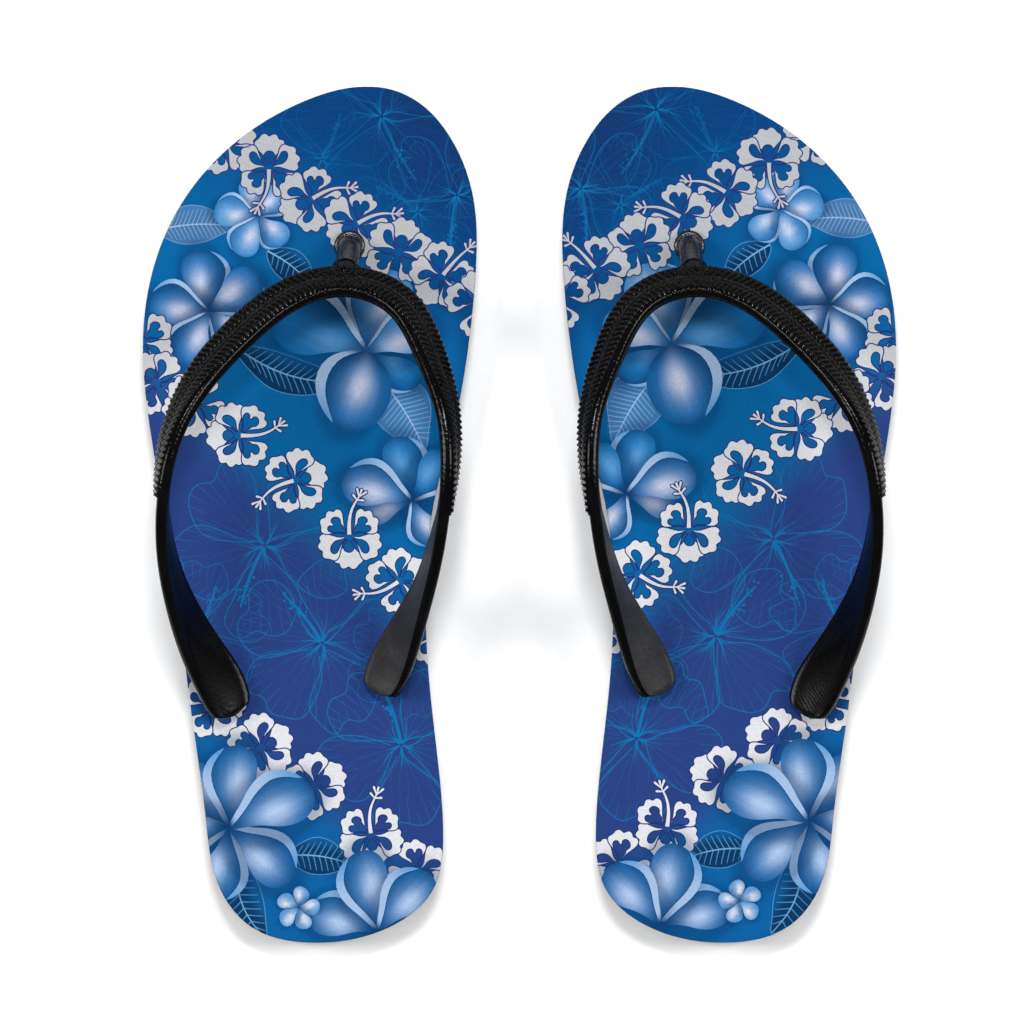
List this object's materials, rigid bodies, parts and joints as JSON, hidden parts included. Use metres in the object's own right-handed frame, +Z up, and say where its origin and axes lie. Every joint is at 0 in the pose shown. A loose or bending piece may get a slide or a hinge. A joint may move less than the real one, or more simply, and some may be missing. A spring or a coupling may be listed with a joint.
{
  "type": "flip flops",
  "caption": "Left and right thong sandals with a layered foam and rubber sole, a flower-printed fabric footbed and a black ribbed Y strap on a leaning toe post.",
  "frame": {"origin": "on the ground, midway between the two sandals and halfway along them", "axes": "+Y towards the toes, +Z up, +X from the left sandal to the right sandal"},
  "size_m": [0.2288, 0.26, 0.0553],
  "materials": {
    "outsole_rubber": "matt moulded rubber with a zigzag tread",
    "white_foam": "matt die-cut foam",
    "blue_foam": "matt die-cut foam",
    "printed_fabric": "fine brushed polyester printed with flowers in blues and white",
    "post_plastic": "satin soft moulding",
    "strap_plastic": "glossy soft moulding, ribbed outside and smooth inside"
  },
  "bodies": {
    "left_sandal": {"left_outsole": "outsole_rubber", "left_midsole": "white_foam", "left_footbed_foam": "blue_foam", "left_printed_sheet": "printed_fabric", "left_toe_post": "post_plastic", "left_strap": "strap_plastic"},
    "right_sandal": {"right_outsole": "outsole_rubber", "right_midsole": "white_foam", "right_footbed_foam": "blue_foam", "right_printed_sheet": "printed_fabric", "right_toe_post": "post_plastic", "right_strap": "strap_plastic"}
  },
  "joints": [
    {"name": "stance", "type": "slide", "parent": "left_sandal", "child": "right_sandal", "axis": [1, 0, 0], "range_m": [-0.024, 0.15]}
  ]
}
